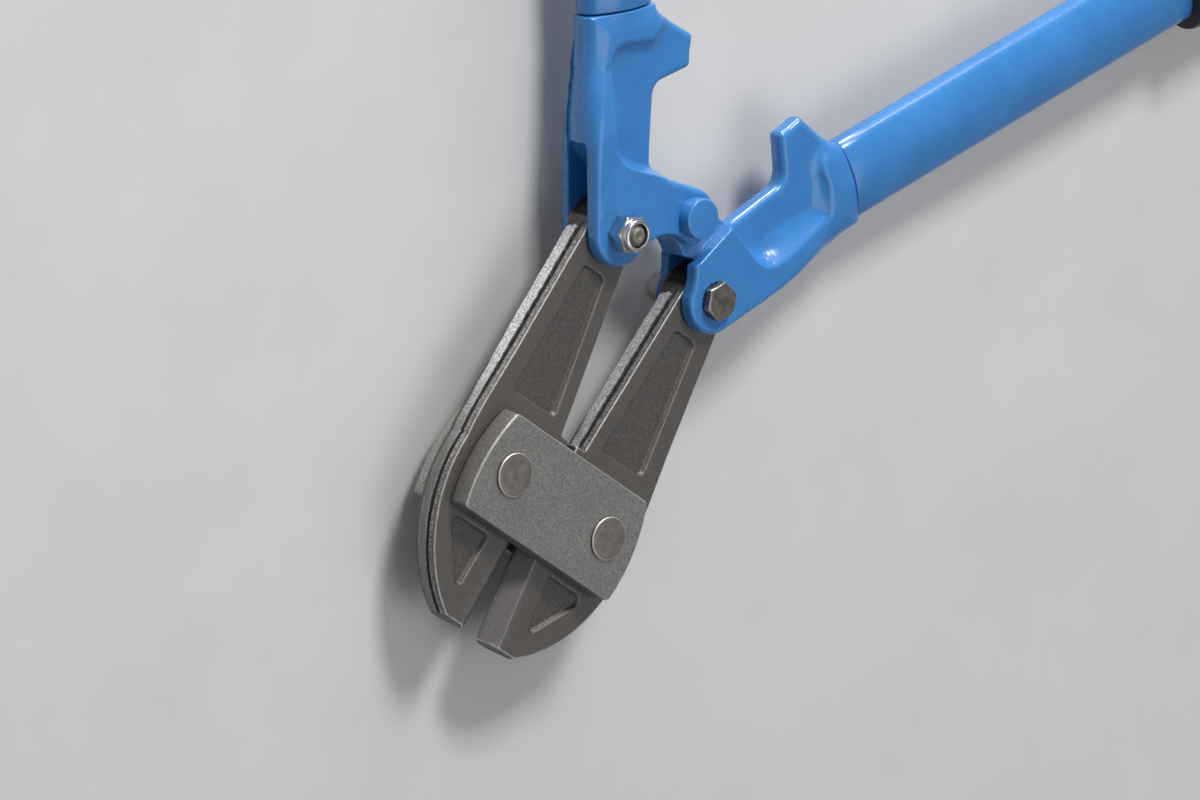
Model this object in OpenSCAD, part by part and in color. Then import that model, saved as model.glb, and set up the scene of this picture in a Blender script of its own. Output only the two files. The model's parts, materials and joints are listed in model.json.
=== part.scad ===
// Compound-lever bolt cutter, 18 inch class, lying flat with its handles part open.
// X runs across the tool, Y from the jaws to the handles, Z up out of the tool's face.
// The shapes are drawn with the origin midway between the two jaw rivets.

/* [Jaws] */
// Distance between the two jaw rivets
rivet_spacing = 42; // [41:0.5:43]
// Distance from the rivet line to the link bolts
link_y = 75.2; // [73:0.1:77]
// Sideways place of each link bolt
link_x = 21.5; // [21:0.1:22]
// Thickness of a jaw
jaw_t = 9.5; // [8.5:0.1:10.5]
// Distance from the rivet line to the tip of the jaws
nose_len = 42.3; // [41.5:0.1:43]
// Width of each ground bevel beside the cutting edge
bevel_w = 5.2; // [4:0.1:7]
// Angle each jaw turns from this pose until the edges meet
jaw_close = 3.94; // [3.6:0.02:4.3]
// Width of the trimmed forging seam around a jaw
seam_w = 3; // [2:0.1:4]
// Height of the forging seam above the jaw's drafted side
seam_h = 1.3; // [0.6:0.1:1.6]
// Depth of the sunk panels on the jaw faces
panel_depth = 1.1; // [0.4:0.1:1.5]

/* [Straps and rivets] */
// Thickness of each strap plate
strap_t = 6.3; // [5:0.1:8]
// Length of the strap below and above the rivets
strap_low = 15.4; // [14:0.1:16]
strap_high = 15.5; // [14:0.1:17]
// Distance from a rivet's middle to the bowed end of the strap
strap_reach = 12.4; // [12:0.1:13]
// Radius of the bowed strap ends
strap_bow_r = 50; // [40:1:60]
// Radius of a rivet's shank
rivet_r = 5; // [4:0.1:5.5]
// Radius of a rivet's head
rivet_head_r = 6.25; // [6:0.05:7]
// Height of a rivet's head
rivet_head_h = 0.9; // [0.5:0.1:1.5]

/* [Handle heads] */
// Distance from the rivet line to the centre pivot
pivot_y = 91; // [90:0.1:92]
// Angle of each handle from the centre line in this pose
handle_angle = 38; // [37:0.1:39]
// Thickness of each cheek beside a jaw tail
cheek_t = 3.95; // [3:0.05:5]
// Thickness of the thin web that carries the stop hook
web_t = 8; // [6:0.1:9]
// Radius of the casting around a link bolt
eye_r = 10.1; // [9.5:0.1:10.5]
// Radius of the casting around the centre pivot
lug_r = 8.4; // [8.2:0.05:8.6]
// Distance of the tube from the centre pivot, sideways
tube_off = 18.75; // [18:0.05:19.5]
// Distance from the centre pivot to the shoulder the tube butts on
shoulder_y = 62; // [61:0.1:63]

/* [Tubes and grips] */
// Width of the oval tube
tube_w = 25; // [24:0.1:26]
// Thickness of the oval tube
tube_h = 13; // [12:0.1:14]
// Wall of the tube
tube_wall = 1.5; // [1:0.1:2]
// Distance from the centre pivot to the end of the grip
handle_len = 326; // [300:1:340]
// Length of the grip
grip_len = 120; // [90:1:130]
// Thickness of the grip around the tube
grip_wall = 2.4; // [2:0.1:3]
// Height of each grip rib
rib_h = 0.8; // [0.4:0.1:1.2]
// Number of grip ribs
rib_count = 9; // [4:1:10]

/* [Pins and fasteners] */
// Radius of the link bolt
bolt_r = 3; // [2.5:0.05:3.2]
// Width of the bolt heads and nuts across their flats
hex_af = 10; // [9:0.1:11]
// Radius of the centre pin's shank
pin_r = 3.5; // [3:0.05:3.6]
// Radius of the centre pin's head
pin_head_r = 5.8; // [5.4:0.1:6.5]

/* [Hidden] */
$fn = 96;

fit = 0.05;             // radial clearance of a turning pin
side_gap = 0.3;         // gap between flat faces that slide past each other
far = 60;               // longer than any cut needs to be

rivet_x = rivet_spacing / 2;
jaw_z = jaw_t / 2;
strap_z = jaw_z + side_gap;
strap_top = strap_z + strap_t;
slot_z = jaw_z + side_gap;
cheek_z = slot_z + cheek_t;
web_z = web_t / 2;
edge_gap = 0.15;        // half the gap left between the closed cutting edges

// Link bolt as seen from the centre pivot, along and across the handle
link_u = link_x * cos(handle_angle) - (link_y - pivot_y) * sin(handle_angle);
link_v = link_x * sin(handle_angle) + (link_y - pivot_y) * cos(handle_angle);

// Jaw outline
arm_outer = [[37.4, 0], [36.5, 14.5], [34.4, 32]];
arm_root_y = 18.5;
arm_inner_x = 5.2;
relief_x = 1.7;
tail_r = 8.9;
nose_cx = -7.2;
nose_cy = -3.5;
nose_r = 44.6;
bevel_top = -8;
seam_top = 66;
arm_panel = [[10.6, 21.3], [29.2, 21.3], [25.4, 62.8], [16.4, 62.8]];
nose_panel = [[13.4, -16.6], [30.6, -16.6], [15.2, -35.6]];
strap_bow_y = -4;

// Head outline, measured from the centre pivot with the tube along +Y
bite_low = [4.6, 18];
bite_low_r = 6;
bite_high = [2.3, 33.8];
bite_high_r = 6.5;
lug_top = [[-3.3, 7.6], [6.2, 12.3]];
hook = [[-4.4, 41.1], [-6.2, 42], [-6.8, 43.4], [-7.8, 50.2], [-7.2, 51.8], [-4.6, 53.6]];
waist = [11.8, -16.2];
waist_r = 12.6;
pocket_low = [20.2, 24.3];
pocket_high = [20.3, 45.2];
pocket_r = 7.1;
pocket_low_side = [[-20, 14], [8.5, 13], [17.2, 17.6]];
pocket_end = [10.4, 52.3];
slot_end = [[11.5, -3.5], [33, 27]];
slope_from = 30;        // the head thins from here
slope_to = 54;          // to the tube's thickness here
socket_from = 46;       // the oval socket starts here, inside the casting
back = [[31.3, shoulder_y], [32.3, 54], [34.4, 44], [36.2, 34], [36.9, 28], [35.6, 24], [35.8, 12]];
core_clear_r = 10.6;    // room for the tongue of the other head
fork_mouth = [[4, 6], [17, 3.5], [17, -far], [0, -far], [-far, -far / 2]];
tongue = [[-far, -far], [20, -far], [14, 14.5], [-far, 14.5]];
step_down = [[-far, -far], [15.4, -far], [13.8, -1.6], [10.4, 9], [8.2, 15], [-far, 15]];
pin_play = 2.2;         // extra radius of the open pivot in the tongue
fin_h = 1.1;            // casting fin along the back of each head
fin_t = 1.6;
eye_flat = 0.1;         // the back starts this far inside the eye's edge
spigot_len = 30;
spigot_gap = 0.05;
tube_gap = 0.15;

// Fasteners
nut_turn = -20;         // where each nut stopped when it was tightened
washer_t = 0.6;
washer_r = 5.6;
washer_teeth = 20;
tooth_h = 0.7;
bolt_head_h = 2.2;
nut_h = 5.4;
nut_crown_h = 1.2;
nut_crown_r = 4.6;
ring_r = 4.1;
ring_t = 1.6;
ring_depth = 1;         // the nylon ring's seat below the nut's flat top
bolt_reach = 7.4;       // bolt end beyond the cheek
bolt_tip = cheek_z + bolt_reach;
pin_head_h = 4;

// Grip
flange_t = 6;
cap_t = 10;
end_wall = 5;           // grip material past the tube's end
rib_gap = 0.35;         // share of each rib's pitch left plain before it
rib_share = 0.6;        // share of the pitch that a rib takes
grip_from = handle_len - grip_len;
tube_end = handle_len - end_wall;
grip_w = tube_w + 2 * grip_wall;
grip_h = tube_h + 2 * grip_wall;
rib_pitch = (grip_len - flange_t - cap_t) / rib_count;

// Row origin: under the middle of the tool
end_u = tube_off - grip_w / 2 - rib_h;
top_y = pivot_y + handle_len * cos(handle_angle) - end_u * sin(handle_angle);
mid_y = (top_y - nose_len) / 2;
base_z = bolt_tip;

// Moves a shape from the drawing origin to the row origin
module place() {
    translate([0, -mid_y, base_z]) children();
}

// Draws a right-hand shape, or its mirror image on the left
module side(left) {
    mirror([left ? 1 : 0, 0, 0]) children();
}

// From the handle's own axes to the tool's
module on_handle() {
    translate([0, pivot_y, 0]) rotate([0, 0, -handle_angle]) children();
}

// Slab of a flat outline between two heights
module slab(z0, z1) {
    translate([0, 0, z0]) linear_extrude(z1 - z0) children();
}

// Oval of four tangent arcs, w wide and h high
module oval(w, h) {
    end_r = 0.35 * h;
    d = w / 2 - end_r;
    big_r = (d * d + h * h / 4 - end_r * end_r) / (h - 2 * end_r);
    tangent_x = d * big_r / (big_r - end_r);
    intersection() {
        translate([0, h / 2 - big_r]) circle(big_r);
        translate([0, big_r - h / 2]) circle(big_r);
        square([2 * tangent_x, h], center = true);
    }
    for (s = [-1, 1]) translate([s * d, 0]) circle(end_r);
}

// Oval bar along the handle between two distances from the pivot
module oval_bar(w, h, v0, v1) {
    translate([tube_off, v0, 0]) rotate([-90, 0, 0]) linear_extrude(v1 - v0) oval(w, h);
}

// Right jaw seen from above; g grows the forged sides outward
module jaw_plan(g) {
    union() {
        intersection() {
            translate([nose_cx, nose_cy]) circle(nose_r + g);
            translate([relief_x, -nose_len]) square([far, nose_len + arm_root_y]);
        }
        polygon([[relief_x, arm_root_y], [arm_inner_x - g, arm_root_y],
            [link_x - tail_r - g, g > 0 ? seam_top : link_y],
            [link_x + tail_r + g, g > 0 ? seam_top : link_y],
            [arm_outer[2][0] + g, arm_outer[2][1]], [arm_outer[1][0] + g, arm_outer[1][1]],
            [arm_outer[0][0] + g, arm_outer[0][1]], [relief_x, 0]]);
        if (g == 0) translate([link_x, link_y]) circle(tail_r);
    }
}

// Everything past the cutting edge and its two bevels, drawn with the jaws closed
module blade_cut() {
    translate([rivet_x, 0, 0]) rotate([0, 0, jaw_close]) translate([-rivet_x, 0, 0]) {
        translate([-far, -far, -far / 2]) cube([far + edge_gap, far + bevel_top, far]);
        for (s = [0, 1]) mirror([0, 0, s])
            translate([0, bevel_top, 0]) rotate([90, 0, 0])
                linear_extrude(far) polygon([[-1, 0], [edge_gap, 0],
                    [edge_gap + bevel_w * 1.2, jaw_z * 1.2], [-1, jaw_z * 1.2]]);
    }
}

// Sunk panels on one face of a jaw
module jaw_panels() {
    slab(jaw_z - panel_depth, jaw_z + 1) {
        polygon(arm_panel);
        polygon(nose_panel);
    }
}

module jaw() {
    difference() {
        union() {
            slab(-jaw_z, jaw_z) jaw_plan(0);
            slab(-seam_w / 2, seam_w / 2) jaw_plan(seam_h);
        }
        blade_cut();
        for (s = [0, 1]) mirror([0, 0, s]) jaw_panels();
        translate([rivet_x, 0, -far / 2]) cylinder(r = rivet_r + fit, h = far);
        translate([link_x, link_y, -far / 2]) cylinder(r = bolt_r + fit, h = far);
    }
}

// Strap plate seen from above: straight long edges, bowed ends
module strap_plan() {
    bow_x = rivet_x + strap_reach - strap_bow_r;
    intersection() {
        translate([-far, -strap_low]) square([2 * far, strap_low + strap_high]);
        translate([bow_x, strap_bow_y]) circle(strap_bow_r);
        translate([-bow_x, strap_bow_y]) circle(strap_bow_r);
    }
}

module strap() {
    difference() {
        slab(strap_z, strap_top) strap_plan();
        for (s = [-1, 1]) translate([s * rivet_x, 0, 0]) cylinder(r = rivet_r + fit, h = far);
    }
}

module rivet() {
    translate([rivet_x, 0, 0]) {
        translate([0, 0, -strap_top]) cylinder(r = rivet_r, h = 2 * strap_top);
        for (s = [0, 1]) mirror([0, 0, s])
            translate([0, 0, strap_top]) cylinder(r = rivet_head_r, h = rivet_head_h);
    }
}

// Open space inside the hook and the bite between the handles
module bite_plan() {
    translate(bite_low) circle(bite_low_r);
    translate(bite_high) circle(bite_high_r);
    polygon([bite_high, bite_high + [bite_high_r, 0], bite_low + [bite_low_r, 0], bite_low]);
}

// Whole head seen from above; g grows only its back
module head_plan(g) {
    difference() {
        union() {
            circle(lug_r);
            translate([link_u, link_v]) circle(eye_r);
            polygon(concat([[0, 0]], lug_top, [bite_low, bite_high, bite_high + [0, bite_high_r]],
                hook, [[tube_off - tube_w / 2, shoulder_y]],
                [for (p = back) p + [g, 0]],
                [[link_u + eye_r - eye_flat, link_v], [link_u, link_v], waist]));
        }
        bite_plan();
        translate(waist) circle(waist_r);
    }
}

// Thin web around the stop hook
module pocket_plan() {
    translate(pocket_low) circle(pocket_r);
    translate(pocket_high) circle(pocket_r);
    polygon(concat(pocket_low_side, [pocket_low + [pocket_r, 0], pocket_high + [pocket_r, 0],
        pocket_high + [0, pocket_r], pocket_end, [pocket_end[0], shoulder_y + 1],
        [pocket_low_side[0][0], shoulder_y + 1]]));
}

// Head height along the handle: full at the cheeks, thinner at the tube
module height_profile() {
    rotate([90, 0, 90]) linear_extrude(2 * far, center = true)
        polygon([[-slope_from, cheek_z], [slope_from, cheek_z], [slope_to, tube_h / 2],
            [shoulder_y, tube_h / 2], [shoulder_y, -tube_h / 2], [slope_to, -tube_h / 2],
            [slope_from, -cheek_z], [-slope_from, -cheek_z]]);
}

// Slot that the jaw tail turns in
module slot_plan() {
    polygon(concat(slot_end, [[far, slot_end[1][1]], [far, -far], [waist[0] - 2, -far]]));
}

// Solid casting before its slots are cut
module head_body() {
    intersection() {
        slab(-cheek_z, cheek_z) difference() {
            head_plan(0);
            pocket_plan();
        }
        height_profile();
    }
    slab(-web_z, web_z) head_plan(0);
    slab(-fin_t / 2, fin_t / 2) head_plan(fin_h);
    oval_bar(tube_w, tube_h, socket_from, shoulder_y);
    oval_bar(tube_w - 2 * (tube_wall + spigot_gap), tube_h - 2 * (tube_wall + spigot_gap),
        shoulder_y - 1, shoulder_y + spigot_len);
}

module link_bore() {
    translate([link_u, link_v, -far / 2]) cylinder(r = bolt_r + fit, h = far);
}

// Head with a fork around the centre pivot
module fork_head() {
    difference() {
        head_body();
        slab(-slot_z, slot_z) {
            slot_plan();
            circle(core_clear_r);
            polygon(fork_mouth);
        }
        link_bore();
        translate([0, 0, -far / 2]) cylinder(r = pin_r + fit, h = far);
    }
}

// Head with a tongue that sits in the other head's fork
module tongue_head() {
    difference() {
        union() {
            head_body();
            slab(-jaw_z, jaw_z) intersection() {
                head_plan(0);
                polygon(tongue);
            }
        }
        slab(-slot_z, slot_z) slot_plan();
        for (s = [0, 1]) mirror([0, 0, s])
            slab(jaw_z, far) polygon(step_down);
        link_bore();
        translate([0, 0, -far / 2]) cylinder(r = pin_r + pin_play, h = far);
    }
}

// Centre pin with a head at each end
module pin() {
    translate([0, pivot_y, 0]) {
        translate([0, 0, -cheek_z]) cylinder(r = pin_r, h = 2 * cheek_z);
        for (s = [0, 1]) mirror([0, 0, s])
            translate([0, 0, cheek_z]) cylinder(r = pin_head_r, h = pin_head_h);
    }
}

// Link bolt, its head at the rear when flip is 1
module at_link(flip) {
    on_handle() translate([link_u, link_v, 0]) mirror([0, 0, flip]) children();
}

// Hexagon with two of its flats across X
module hexagon() {
    rotate(30) circle(hex_af / 2 / cos(30), $fn = 6);
}

module bolt() {
    translate([0, 0, -bolt_tip]) cylinder(r = bolt_r, h = bolt_tip + cheek_z + washer_t);
    slab(cheek_z + washer_t, cheek_z + washer_t + bolt_head_h) hexagon();
}

module lock_washer() {
    slab(cheek_z, cheek_z + washer_t) difference() {
        polygon([for (i = [0 : 2 * washer_teeth - 1]) let (a = i * 180 / washer_teeth)
            (washer_r - (i % 2) * tooth_h) * [cos(a), sin(a)]]);
        circle(bolt_r + fit);
    }
}

module nut() {
    mirror([0, 0, 1]) difference() {
        union() {
            slab(cheek_z, cheek_z + nut_h) rotate(nut_turn) hexagon();
            slab(cheek_z, cheek_z + nut_h + nut_crown_h) circle(nut_crown_r);
        }
        cylinder(r = bolt_r + fit, h = far);
        translate([0, 0, cheek_z + nut_h - ring_depth]) cylinder(r = ring_r, h = far);
    }
}

module nut_ring() {
    mirror([0, 0, 1]) translate([0, 0, cheek_z + nut_h - ring_depth]) linear_extrude(ring_t) difference() {
        circle(ring_r);
        circle(bolt_r + fit);
    }
}

module tube() {
    on_handle() difference() {
        oval_bar(tube_w, tube_h, shoulder_y + tube_gap, tube_end);
        oval_bar(tube_w - 2 * tube_wall, tube_h - 2 * tube_wall, shoulder_y - 1, tube_end + 1);
    }
}

module grip() {
    on_handle() difference() {
        union() {
            oval_bar(grip_w, grip_h, grip_from, handle_len);
            oval_bar(grip_w + 4 * rib_h, grip_h + 4 * rib_h, grip_from, grip_from + flange_t);
            for (i = [0 : rib_count - 1])
                translate([0, grip_from + flange_t + (i + rib_gap) * rib_pitch, 0])
                    oval_bar(grip_w + 2 * rib_h, grip_h + 2 * rib_h, 0, rib_share * rib_pitch);
            oval_bar(grip_w + 2 * rib_h, grip_h + 2 * rib_h, handle_len - cap_t, handle_len);
        }
        oval_bar(tube_w + 2 * fit, tube_h + 2 * fit, grip_from - 1, tube_end);
    }
}

module front_strap() { color("#7d7a76") place() strap(); }
module rear_strap() { color("#7d7a76") place() mirror([0, 0, 1]) strap(); }
module left_rivet() { color("#7f766c") place() side(true) rivet(); }
module right_rivet() { color("#7f766c") place() side(false) rivet(); }
module left_jaw() { color("#5a5550") place() side(true) jaw(); }
module right_jaw() { color("#5a5550") place() side(false) jaw(); }
module left_head() { color("#3f7fc0") place() side(true) on_handle() fork_head(); }
module right_head() { color("#3f7fc0") place() side(false) on_handle() tongue_head(); }
module pivot_pin() { color("#3f7fc0") place() pin(); }
module left_bolt() { color("#746a60") place() side(true) at_link(1) bolt(); }
module left_lock_washer() { color("#2c2c2e") place() side(true) at_link(1) lock_washer(); }
module left_nut() { color("#b9bcc0") place() side(true) at_link(1) nut(); }
module left_nut_ring() { color("#5d6f8a") place() side(true) at_link(1) nut_ring(); }
module right_bolt() { color("#746a60") place() side(false) at_link(0) bolt(); }
module right_lock_washer() { color("#2c2c2e") place() side(false) at_link(0) lock_washer(); }
module right_nut() { color("#b9bcc0") place() side(false) at_link(0) nut(); }
module right_nut_ring() { color("#5d6f8a") place() side(false) at_link(0) nut_ring(); }
module left_tube() { color("#3f7fc0") place() side(true) tube(); }
module right_tube() { color("#3f7fc0") place() side(false) tube(); }
module left_grip() { color("#1d1d1f") place() side(true) grip(); }
module right_grip() { color("#1d1d1f") place() side(false) grip(); }

front_strap();
rear_strap();
left_rivet();
right_rivet();
left_jaw();
right_jaw();
left_head();
right_head();
pivot_pin();
left_bolt();
left_lock_washer();
left_nut();
left_nut_ring();
right_bolt();
right_lock_washer();
right_nut();
right_nut_ring();
left_tube();
right_tube();
left_grip();
right_grip();
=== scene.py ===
import json
import math
import bpy
import numpy as np
from mathutils import Matrix, Vector


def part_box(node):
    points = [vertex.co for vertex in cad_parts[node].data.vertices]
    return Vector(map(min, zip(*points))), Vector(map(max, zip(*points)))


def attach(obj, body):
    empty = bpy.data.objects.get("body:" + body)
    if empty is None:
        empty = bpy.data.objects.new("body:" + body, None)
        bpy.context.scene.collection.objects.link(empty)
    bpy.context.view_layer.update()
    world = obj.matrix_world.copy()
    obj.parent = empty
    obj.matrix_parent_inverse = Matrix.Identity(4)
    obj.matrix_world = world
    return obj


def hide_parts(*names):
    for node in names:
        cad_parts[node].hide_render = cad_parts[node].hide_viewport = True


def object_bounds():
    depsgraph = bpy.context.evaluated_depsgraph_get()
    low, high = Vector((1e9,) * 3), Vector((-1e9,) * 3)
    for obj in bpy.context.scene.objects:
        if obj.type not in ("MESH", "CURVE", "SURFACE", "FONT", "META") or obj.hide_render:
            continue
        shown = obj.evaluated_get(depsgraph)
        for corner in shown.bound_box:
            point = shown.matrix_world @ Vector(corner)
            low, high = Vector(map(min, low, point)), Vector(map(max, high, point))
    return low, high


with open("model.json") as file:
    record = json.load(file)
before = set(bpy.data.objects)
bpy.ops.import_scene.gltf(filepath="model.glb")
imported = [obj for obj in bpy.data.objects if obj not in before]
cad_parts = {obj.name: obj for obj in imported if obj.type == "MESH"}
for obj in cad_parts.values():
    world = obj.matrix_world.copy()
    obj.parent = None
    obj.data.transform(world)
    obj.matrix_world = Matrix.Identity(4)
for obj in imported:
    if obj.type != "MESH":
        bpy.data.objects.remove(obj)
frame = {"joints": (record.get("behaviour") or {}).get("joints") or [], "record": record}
cad_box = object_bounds()

# -------- places, from the frame
# The shapes below are drawn in millimetres with the origin midway between the two jaw rivets:
# +X to the right jaw, +Y to the handles, +Z up out of the tool's face.
MM = 0.001
JOINTS = {joint["name"]: joint for joint in frame["joints"]}
MOUNTS = {mount["name"]: mount for mount in frame["record"]["mounts"]}
RIVET = Vector(JOINTS["right_jaw_pivot"]["pos_m"])
ORIGIN = Vector((0, RIVET.y, RIVET.z))
LINK = (Vector(JOINTS["right_handle_swing"]["pos_m"]) - ORIGIN) / MM


def box_mm(node):
    """Lowest and highest corner of a CAD node, in the drawing's millimetres."""
    low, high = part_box(node)
    return (low - ORIGIN) / MM, (high - ORIGIN) / MM


RIVET_X = RIVET.x / MM
PIVOT_Y = sum(corner.y for corner in box_mm("pivot_pin")) / 2
GRIP_AXIS = MOUNTS["right_grip_end"]["axis"]
GRIP_END = (Vector(MOUNTS["right_grip_end"]["pos_m"]) - ORIGIN) / MM
HANDLE_ANGLE = math.atan2(GRIP_AXIS[0], GRIP_AXIS[1])

TO_ROW = Matrix.Translation(ORIGIN) @ Matrix.Scale(MM, 4)
MIRROR = Matrix.Diagonal((-1, 1, 1, 1))
ON_HANDLE = Matrix.Translation((0, PIVOT_Y, 0)) @ Matrix.Rotation(-HANDLE_ANGLE, 4, "Z")


def place(left, local=Matrix.Identity(4)):
    """From a part's own right-hand drawing to the row frame."""
    return TO_ROW @ (MIRROR if left else Matrix.Identity(4)) @ local


LINK_UV = ON_HANDLE.inverted() @ LINK            # link bolt on the handle's own axes
END_UV = ON_HANDLE.inverted() @ GRIP_END         # middle of the grip's end face

# Heights above the tool's middle plane
JAW_Z = box_mm("right_jaw")[1].z
STRAP_LOW, STRAP_TOP = box_mm("front_strap")[0].z, box_mm("front_strap")[1].z
RIVET_TOP = box_mm("right_rivet")[1].z
CHEEK_Z = box_mm("right_head")[1].z
PIN_TOP = box_mm("pivot_pin")[1].z

# -------- camera
FOCAL_MM, SENSOR_MM = 210, 36
CAMERA_AT = Vector((-1.29256, -0.32034, 1.43370))          # from the drawing's origin, in metres
CAMERA_RIGHT = Vector((0.6148, 0.4276, 0.6627))
CAMERA_DOWN = Vector((0.4312, -0.8858, 0.1715))
CAMERA_AHEAD = Vector((0.6603, 0.1803, -0.7290))


def link(thing):
    bpy.context.scene.collection.objects.link(thing)


def make_camera():
    """Long lens, looking down along the tool at its jaws."""
    data = bpy.data.cameras.new("camera")
    data.lens = FOCAL_MM
    data.sensor_width = SENSOR_MM
    data.clip_start = 0.05
    data.clip_end = 20
    camera = bpy.data.objects.new("camera", data)
    turn = Matrix((CAMERA_RIGHT, -CAMERA_DOWN, -CAMERA_AHEAD)).transposed()
    camera.matrix_world = Matrix.Translation(ORIGIN + CAMERA_AT) @ turn.to_4x4()
    link(camera)
    bpy.context.scene.camera = camera


make_camera()


# -------- flat fields
# A field is the distance to a shape in millimetres, negative inside it.
def circle(x, y, centre, r):
    return np.hypot(x - centre[0], y - centre[1]) - r


ARC_STEPS = 6


def outline(*corners):
    """Closed outline through corners (x, y, radius), with an arc at each corner that has a radius."""
    points = []
    for i, (x, y, r) in enumerate(corners):
        corner = Vector((x, y))
        if not r:
            points.append(corner)
            continue
        back = (Vector(corners[i - 1][:2]) - corner).normalized()
        on = (Vector(corners[(i + 1) % len(corners)][:2]) - corner).normalized()
        half = back.angle(on) / 2
        centre = corner + (back + on).normalized() * (r / math.sin(half))
        first = corner + back * (r / math.tan(half)) - centre
        last = corner + on * (r / math.tan(half)) - centre
        start = math.atan2(first.y, first.x)
        sweep = (math.atan2(last.y, last.x) - start + math.pi) % (2 * math.pi) - math.pi
        for k in range(ARC_STEPS + 1):
            a = start + sweep * k / ARC_STEPS
            points.append(centre + Vector((r * math.cos(a), r * math.sin(a))))
    return points


def polygon(x, y, points):
    """Distance to a closed outline."""
    near = np.full(np.broadcast(x, y).shape, np.inf)
    inside = np.zeros(near.shape, bool)
    for i, (bx, by) in enumerate(points):
        ax, ay = points[i - 1]
        ex, ey = bx - ax, by - ay
        wx, wy = x - ax, y - ay
        t = np.clip((wx * ex + wy * ey) / (ex * ex + ey * ey), 0, 1)
        near = np.minimum(near, (wx - ex * t) ** 2 + (wy - ey * t) ** 2)
        if ay != by:
            inside ^= ((ay > y) != (by > y)) & (x < ex * (y - ay) / (by - ay) + ax)
    return np.sqrt(near) * np.where(inside, -1.0, 1.0)


# -------- solid fields
def join(a, b, r):
    """Union of two fields with a fillet about r wide."""
    h = np.maximum(r - np.abs(a - b), 0) / r
    return np.minimum(a, b) - h * h * r / 4


def overlap(a, b, r):
    """What two fields share, its new edges rounded about r."""
    return -join(-a, -b, r)


def bored(solid, x, y, *holes):
    """A solid with holes (centre, radius) right through it."""
    for centre, r in holes:
        solid = np.maximum(solid, -circle(x, y, centre, r))
    return solid


def slab(flat, z, half, r):
    """Outline made a plate of that half thickness, with its edges rounded."""
    a, b = flat + r, np.abs(z) - half + r
    return np.minimum(np.maximum(a, b), 0) + np.hypot(np.maximum(a, 0), np.maximum(b, 0)) - r


def fade(value, at_zero, at_one):
    """0 at one value and 1 at the other, smooth between them."""
    t = np.clip((value - at_zero) / (at_one - at_zero), 0, 1)
    return t * t * (3 - 2 * t)


def waves(x, y, z, length):
    """Gentle unevenness between -1 and 1, with no plan to it, about that long."""
    k = 2 * math.pi / length
    return (np.sin(k * (x + 0.37 * y) + 1.3) * np.cos(k * (0.83 * y - 0.29 * z) + 0.4)
            + np.sin(k * (0.61 * y - 0.71 * x + 0.5 * z) + 2.1)) / 2


# -------- from field to mesh
SETTLE_REACH, NORMAL_REACH, EDGE_REACH = 0.02, 0.05, 0.45   # how far off the field is sampled again


def surface_net(field, low, high, step):
    """Quads over the surface of a field, one point for each grid cell that the surface crosses."""
    size = [int(math.ceil((b - a) / step)) + 1 for a, b in zip(low, high)]
    axes = [a + step * np.arange(n) for a, n in zip(low, size)]
    grid = field(axes[0][:, None, None], axes[1][None, :, None], axes[2][None, None, :])
    grid = np.broadcast_to(grid, size)
    cells = [n - 1 for n in size]
    quads, cell_ids, crossings = [], [], []
    for axis in range(3):
        b, c = (axis + 1) % 3, (axis + 2) % 3
        below = np.take(grid, range(size[axis] - 1), axis)
        above = np.take(grid, range(1, size[axis]), axis)
        at = np.argwhere((below < 0) != (above < 0))
        at = at[(at[:, b] > 0) & (at[:, b] < size[b] - 1) & (at[:, c] > 0) & (at[:, c] < size[c] - 1)]
        f0, f1 = below[tuple(at.T)], above[tuple(at.T)]
        point = at.astype(float)
        point[:, axis] += f0 / (f0 - f1)
        ring = []
        for db, dc in ((0, 0), (1, 0), (1, 1), (0, 1)):
            cell = at.copy()
            cell[:, b] -= db
            cell[:, c] -= dc
            ring.append(np.ravel_multi_index(tuple(cell.T), cells))
        ring = np.stack(ring, 1)
        quads.append(np.where((f0 < 0)[:, None], ring, ring[:, ::-1]))
        cell_ids.append(ring.ravel())
        crossings.append(np.repeat(point, 4, 0))
    ids = np.concatenate(cell_ids)
    crossings = np.concatenate(crossings)
    used, index = np.unique(ids, return_inverse=True)
    count = np.bincount(index)
    points = np.stack([np.bincount(index, crossings[:, i]) / count for i in range(3)], 1)
    faces = np.searchsorted(used, np.concatenate(quads))
    return np.array(low) + step * points, faces


def slope(field, p, reach):
    """A field's value and its direction of growth at points."""
    x, y, z = p.T
    here = field(x, y, z)
    grow = np.stack([field(x + reach, y, z), field(x, y + reach, z), field(x, y, z + reach)], 1)
    return here, (grow - here[:, None]) / reach


def settle(field, points, step):
    """Moves points on to the surface of a field, half a grid step at a time at most."""
    for _ in range(2):
        value, grow = slope(field, points, SETTLE_REACH)
        move = grow * (value / np.maximum((grow ** 2).sum(1), 0.2))[:, None]
        length = np.linalg.norm(move, axis=1, keepdims=True)
        points = points - move * np.minimum(1, 0.5 * step / np.maximum(length, 1e-9))
    return points


def convexity(field, p):
    """How much sharper than flat the surface is at points: positive on edges, negative in corners."""
    x, y, z = p.T
    around = sum(field(*(q + s * EDGE_REACH * (i == axis) for i, q in enumerate((x, y, z))))
                 for axis in range(3) for s in (-1, 1))
    return around / 6 / EDGE_REACH


def thinned(mesh, keep):
    """The mesh with that share of its faces kept, fewest where it is flat."""
    helper = bpy.data.objects.new("helper", mesh)
    link(helper)
    helper.modifiers.new("thin", "DECIMATE").ratio = keep
    made = helper.evaluated_get(bpy.context.evaluated_depsgraph_get())
    result = bpy.data.meshes.new_from_object(made)
    bpy.data.objects.remove(helper)
    return result


def read_points(mesh):
    flat = np.zeros(len(mesh.vertices) * 3)
    mesh.vertices.foreach_get("co", flat)
    return flat.reshape(-1, 3)


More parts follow.
